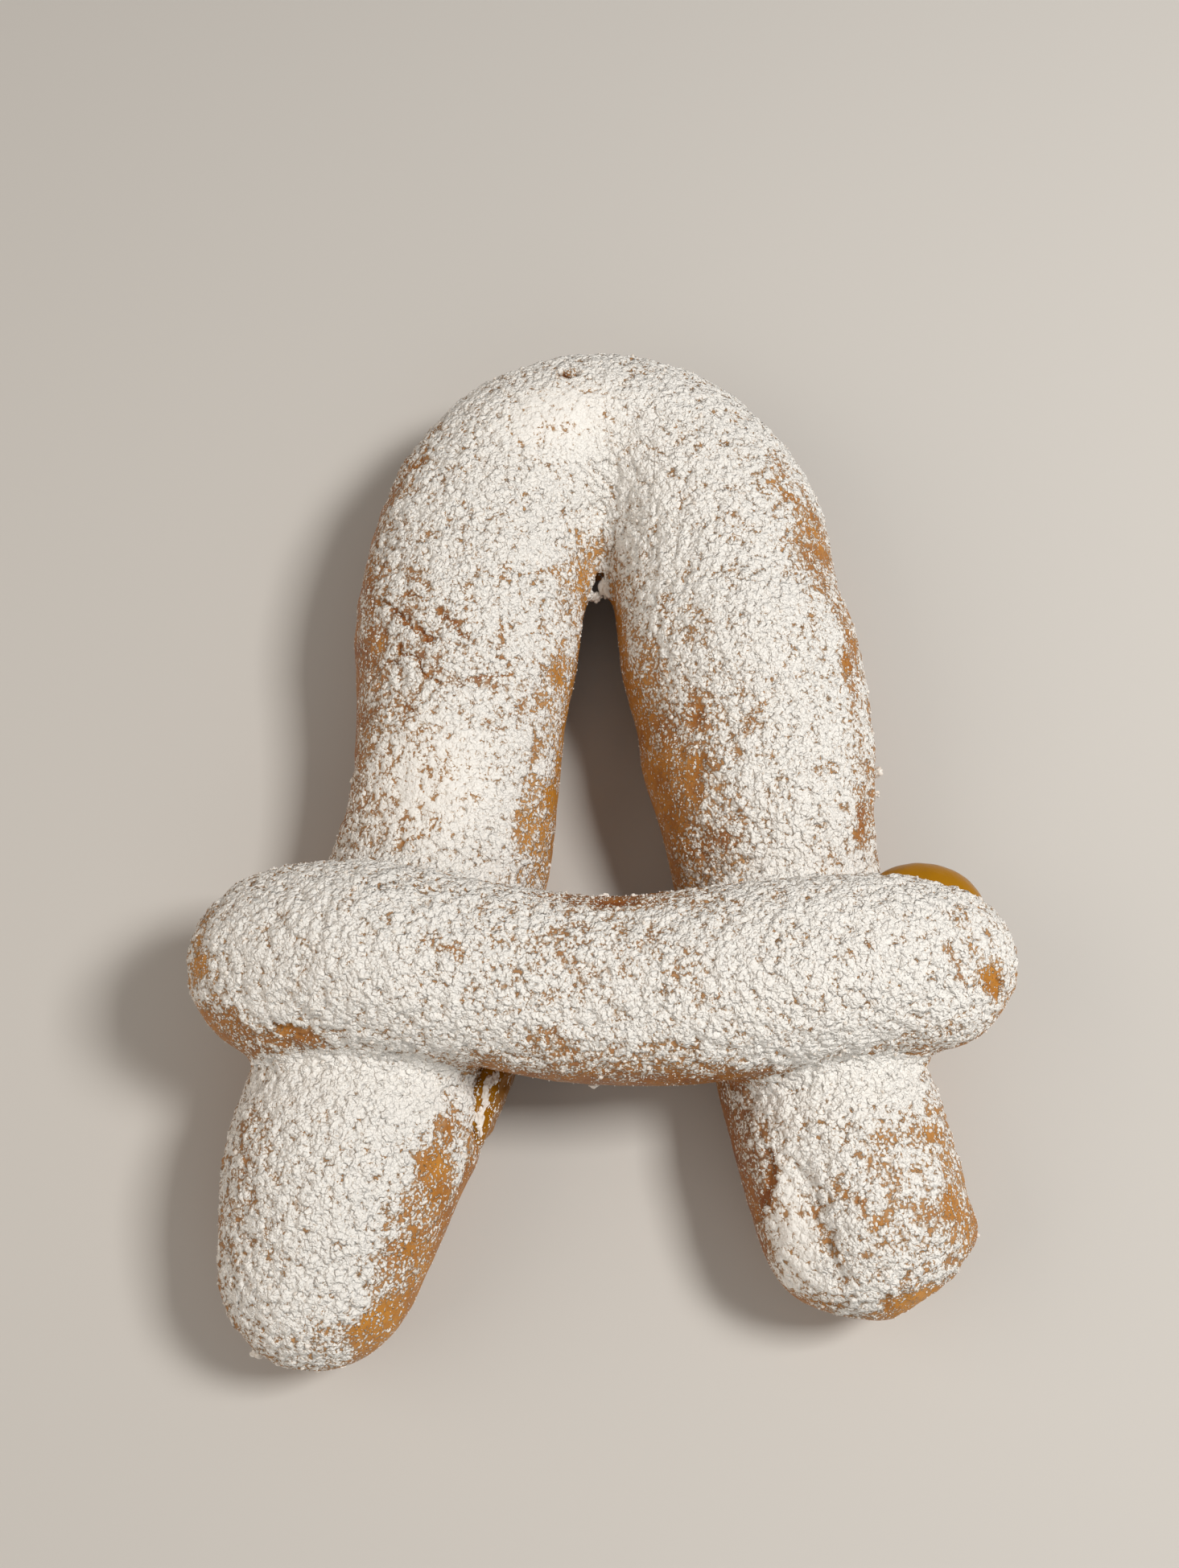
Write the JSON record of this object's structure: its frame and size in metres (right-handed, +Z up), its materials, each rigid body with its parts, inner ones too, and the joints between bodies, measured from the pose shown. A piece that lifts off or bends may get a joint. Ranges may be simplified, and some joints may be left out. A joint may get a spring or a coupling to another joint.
{
  "type": "sugared milk bread roll",
  "caption": "Bread roll of risen dough ropes: an arch with two feet and a bar across its legs, dusted with sugar, with fruit filling at the seams.",
  "frame": {"origin": "middle of the roll's bounding box, on the surface that the roll rests on", "axes": "+Z up; +Y from the feet towards the bend of the arch, along the roll's length; +X along the bar, to the right seen from above with the bend away from the viewer"},
  "size_m": [0.1524, 0.207, 0.0495],
  "materials": {
    "sugared_dough": "golden brown crust under a thick, lumpy dusting of icing sugar",
    "fruit_filling": "glossy, slightly clear amber fruit filling"
  },
  "bodies": {
    "root": {"arch_strand": "sugared_dough", "cross_strand": "sugared_dough", "filling_bead": "fruit_filling", "filling_drip": "fruit_filling"}
  },
  "joints": []
}
